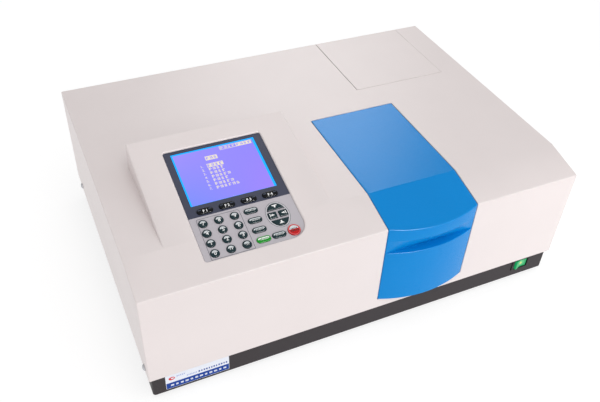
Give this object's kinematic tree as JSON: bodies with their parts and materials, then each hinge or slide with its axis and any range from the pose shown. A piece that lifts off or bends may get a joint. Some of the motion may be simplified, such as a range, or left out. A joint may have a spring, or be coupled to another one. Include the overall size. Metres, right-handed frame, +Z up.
{
  "type": "spectrophotometer",
  "caption": "Bench-top spectrophotometer: off-white cabinet on a black base, raised sloping console with display and keypad, blue hinged sample lid, lift-off lamp cover.",
  "frame": {"origin": "under the middle of the instrument, on the surface that its feet stand on", "axes": "+X to the right as seen by the user, +Y from the front to the back, +Z up"},
  "size_m": [0.656, 0.474, 0.2526],
  "materials": {
    "cover_paint": "fine-textured warm off-white paint",
    "base_paint": "satin black powder coat",
    "rubber": "matt",
    "steel": "zinc-plated",
    "label": "two-tone film",
    "rear_steel": "grey powder coat",
    "black_plastic": "moulded",
    "panel_grey": "printed film over a moulding",
    "display": "glass over a blue-violet display",
    "circuit_board": "solder resist",
    "green_plastic": "translucent",
    "lid_blue": "semi-gloss moulding",
    "lining_black": "matt light-absorbing",
    "black_aluminium": "black anodised",
    "cast_aluminium": "as cast",
    "quartz": "polished",
    "mirror": "front-surface coated",
    "key_dark": "moulded, printed",
    "key_black": "polished",
    "key_green": "moulded, printed",
    "key_red": "moulded, printed"
  },
  "bodies": {
    "cabinet": {"base_pan": "base_paint", "feet": "rubber", "top_shell": "cover_paint", "side_screws": "steel", "name_label": "label", "rear_panel": "rear_steel", "power_inlet": "black_plastic", "data_ports": "steel", "fan_frame": "black_plastic", "display_panel": "panel_grey", "lcd_module": "display", "key_board": "circuit_board", "switch_housing": "black_plastic", "hinge_brackets": "steel", "sample_chamber": "black_aluminium", "optical_deck": "cast_aluminium", "monochromator_box": "black_aluminium", "optics_mirrors": "mirror", "lamp_house": "cast_aluminium", "lamps": "quartz", "detector_box": "black_aluminium", "main_board": "circuit_board", "power_supply": "rear_steel"},
    "lid": {"sample_lid": "lid_blue", "lid_liner": "lining_black", "lid_hinge_arms": "steel"},
    "rocker": {"power_rocker": "green_plastic"},
    "lamp_hatch": {"lamp_cover": "cover_paint"},
    "carriage": {"cell_carriage": "black_aluminium", "cuvettes": "quartz"},
    "turntable": {"grating_turntable": "cast_aluminium"},
    "wheel": {"filter_wheel": "black_aluminium"},
    "source_mirror": {"lamp_mirror": "mirror"},
    "fan": {"fan_rotor": "black_plastic"},
    "key_7": {"key_7": "key_dark"},
    "key_8": {"key_8": "key_dark"},
    "key_9": {"key_9": "key_dark"},
    "key_4": {"key_4": "key_dark"},
    "key_5": {"key_5": "key_dark"},
    "key_6": {"key_6": "key_dark"},
    "key_1": {"key_1": "key_dark"},
    "key_2": {"key_2": "key_dark"},
    "key_3": {"key_3": "key_dark"},
    "key_0": {"key_0": "key_dark"},
    "key_point": {"key_point": "key_dark"},
    "key_clear": {"key_clear": "key_dark"},
    "key_f1": {"key_f1": "key_black"},
    "key_f2": {"key_f2": "key_black"},
    "key_f3": {"key_f3": "key_black"},
    "key_f4": {"key_f4": "key_black"},
    "key_start": {"key_start": "key_dark"},
    "key_goto": {"key_goto": "key_dark"},
    "key_print": {"key_print": "key_dark"},
    "key_enter": {"key_enter": "key_green"},
    "key_return": {"key_return": "key_dark"},
    "key_stop": {"key_stop": "key_red"},
    "key_up": {"key_up": "key_dark"},
    "key_down": {"key_down": "key_dark"},
    "key_left": {"key_left": "key_dark"},
    "key_right": {"key_right": "key_dark"}
  },
  "joints": [
    {"name": "lid_hinge", "type": "hinge", "parent": "cabinet", "child": "lid", "pos_m": [0.0807, 0.048, 0.19937], "axis": [-1, 0, 0], "range_deg": [0, 80]},
    {"name": "rocker_tilt", "type": "hinge", "parent": "cabinet", "child": "rocker", "pos_m": [0.2745, -0.2144, 0.03225], "axis": [0, 0, 1], "range_deg": [-20, 0]},
    {"name": "lamp_cover_lift", "type": "slide", "parent": "cabinet", "child": "lamp_hatch", "axis": [0, 0, 1], "range_m": [0, 0.09]},
    {"name": "carriage_slide", "type": "slide", "parent": "cabinet", "child": "carriage", "axis": [0, 1, 0], "range_m": [0, 0.06]},
    {"name": "grating_turn", "type": "hinge", "parent": "cabinet", "child": "turntable", "pos_m": [0.043, 0.152, 0.068], "axis": [0, 0, 1], "range_deg": [-20, 20]},
    {"name": "filter_wheel_turn", "type": "hinge", "parent": "cabinet", "child": "wheel", "pos_m": [0.1215, 0.172, 0.128], "axis": [1, 0, 0], "continuous": true},
    {"name": "source_mirror_turn", "type": "hinge", "parent": "cabinet", "child": "source_mirror", "pos_m": [0.16, 0.152, 0.098], "axis": [0, 0, 1], "range_deg": [-35, 35]},
    {"name": "fan_spin", "type": "hinge", "parent": "cabinet", "child": "fan", "pos_m": [0.005, 0.217, 0.128], "axis": [0, 1, 0], "continuous": true},
    {"name": "key_7_press", "type": "slide", "parent": "cabinet", "child": "key_7", "axis": [0, 0.2202, -0.9755], "range_m": [0, 0.0012], "stiffness_N_per_m": 500},
    {"name": "key_8_press", "type": "slide", "parent": "cabinet", "child": "key_8", "axis": [0, 0.2202, -0.9755], "range_m": [0, 0.0012], "stiffness_N_per_m": 500},
    {"name": "key_9_press", "type": "slide", "parent": "cabinet", "child": "key_9", "axis": [0, 0.2202, -0.9755], "range_m": [0, 0.0012], "stiffness_N_per_m": 500},
    {"name": "key_4_press", "type": "slide", "parent": "cabinet", "child": "key_4", "axis": [0, 0.2202, -0.9755], "range_m": [0, 0.0012], "stiffness_N_per_m": 500},
    {"name": "key_5_press", "type": "slide", "parent": "cabinet", "child": "key_5", "axis": [0, 0.2202, -0.9755], "range_m": [0, 0.0012], "stiffness_N_per_m": 500},
    {"name": "key_6_press", "type": "slide", "parent": "cabinet", "child": "key_6", "axis": [0, 0.2202, -0.9755], "range_m": [0, 0.0012], "stiffness_N_per_m": 500},
    {"name": "key_1_press", "type": "slide", "parent": "cabinet", "child": "key_1", "axis": [0, 0.2202, -0.9755], "range_m": [0, 0.0012], "stiffness_N_per_m": 500},
    {"name": "key_2_press", "type": "slide", "parent": "cabinet", "child": "key_2", "axis": [0, 0.2202, -0.9755], "range_m": [0, 0.0012], "stiffness_N_per_m": 500},
    {"name": "key_3_press", "type": "slide", "parent": "cabinet", "child": "key_3", "axis": [0, 0.2202, -0.9755], "range_m": [0, 0.0012], "stiffness_N_per_m": 500},
    {"name": "key_0_press", "type": "slide", "parent": "cabinet", "child": "key_0", "axis": [0, 0.2202, -0.9755], "range_m": [0, 0.0012], "stiffness_N_per_m": 500},
    {"name": "key_point_press", "type": "slide", "parent": "cabinet", "child": "key_point", "axis": [0, 0.2202, -0.9755], "range_m": [0, 0.0012], "stiffness_N_per_m": 500},
    {"name": "key_clear_press", "type": "slide", "parent": "cabinet", "child": "key_clear", "axis": [0, 0.2202, -0.9755], "range_m": [0, 0.0012], "stiffness_N_per_m": 500},
    {"name": "key_f1_press", "type": "slide", "parent": "cabinet", "child": "key_f1", "axis": [0, 0.2202, -0.9755], "range_m": [0, 0.0012], "stiffness_N_per_m": 500},
    {"name": "key_f2_press", "type": "slide", "parent": "cabinet", "child": "key_f2", "axis": [0, 0.2202, -0.9755], "range_m": [0, 0.0012], "stiffness_N_per_m": 500},
    {"name": "key_f3_press", "type": "slide", "parent": "cabinet", "child": "key_f3", "axis": [0, 0.2202, -0.9755], "range_m": [0, 0.0012], "stiffness_N_per_m": 500},
    {"name": "key_f4_press", "type": "slide", "parent": "cabinet", "child": "key_f4", "axis": [0, 0.2202, -0.9755], "range_m": [0, 0.0012], "stiffness_N_per_m": 500},
    {"name": "key_start_press", "type": "slide", "parent": "cabinet", "child": "key_start", "axis": [0, 0.2202, -0.9755], "range_m": [0, 0.0012], "stiffness_N_per_m": 500},
    {"name": "key_goto_press", "type": "slide", "parent": "cabinet", "child": "key_goto", "axis": [0, 0.2202, -0.9755], "range_m": [0, 0.0012], "stiffness_N_per_m": 500},
    {"name": "key_print_press", "type": "slide", "parent": "cabinet", "child": "key_print", "axis": [0, 0.2202, -0.9755], "range_m": [0, 0.0012], "stiffness_N_per_m": 500},
    {"name": "key_enter_press", "type": "slide", "parent": "cabinet", "child": "key_enter", "axis": [0, 0.2202, -0.9755], "range_m": [0, 0.0012], "stiffness_N_per_m": 500},
    {"name": "key_return_press", "type": "slide", "parent": "cabinet", "child": "key_return", "axis": [0, 0.2202, -0.9755], "range_m": [0, 0.0012], "stiffness_N_per_m": 500},
    {"name": "key_stop_press", "type": "slide", "parent": "cabinet", "child": "key_stop", "axis": [0, 0.2202, -0.9755], "range_m": [0, 0.0012], "stiffness_N_per_m": 500},
    {"name": "key_up_press", "type": "slide", "parent": "cabinet", "child": "key_up", "axis": [0, 0.2202, -0.9755], "range_m": [0, 0.0012], "stiffness_N_per_m": 500},
    {"name": "key_down_press", "type": "slide", "parent": "cabinet", "child": "key_down", "axis": [0, 0.2202, -0.9755], "range_m": [0, 0.0012], "stiffness_N_per_m": 500},
    {"name": "key_left_press", "type": "slide", "parent": "cabinet", "child": "key_left", "axis": [0, 0.2202, -0.9755], "range_m": [0, 0.0012], "stiffness_N_per_m": 500},
    {"name": "key_right_press", "type": "slide", "parent": "cabinet", "child": "key_right", "axis": [0, 0.2202, -0.9755], "range_m": [0, 0.0012], "stiffness_N_per_m": 500}
  ]
}
